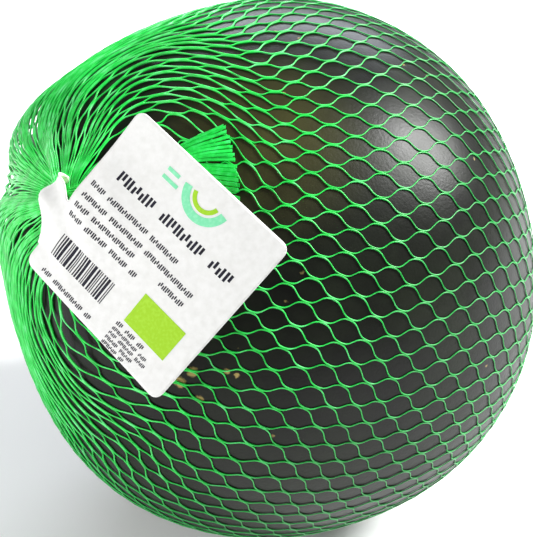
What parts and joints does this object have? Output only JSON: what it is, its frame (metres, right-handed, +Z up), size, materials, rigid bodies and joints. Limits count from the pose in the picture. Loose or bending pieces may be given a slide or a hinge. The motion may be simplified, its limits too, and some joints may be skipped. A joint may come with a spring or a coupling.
{
  "type": "watermelon in a net",
  "caption": "Round dark-rind watermelon in a snug diamond-mesh plastic net, gathered and clipped at both ends, with a paper label folded round one neck.",
  "frame": {"origin": "middle of the bounding box's base, on the surface that the fruit rests on", "axes": "+Z up; the label and the front gather face -X -Y, the stem scar faces -X, and the far gather faces +X +Y"},
  "size_m": [0.1858, 0.1934, 0.1853],
  "materials": {
    "rind": "waxy semi-gloss fruit rind, near-black green",
    "net_plastic": "extruded polyethylene net, bright green",
    "clip_aluminium": "drawn aluminium wire, satin",
    "label_paper": "white coated label paper"
  },
  "bodies": {
    "root": {"watermelon": "rind", "net": "net_plastic", "net_tail": "net_plastic", "front_clip": "clip_aluminium", "back_clip": "clip_aluminium", "label": "label_paper"}
  },
  "joints": []
}
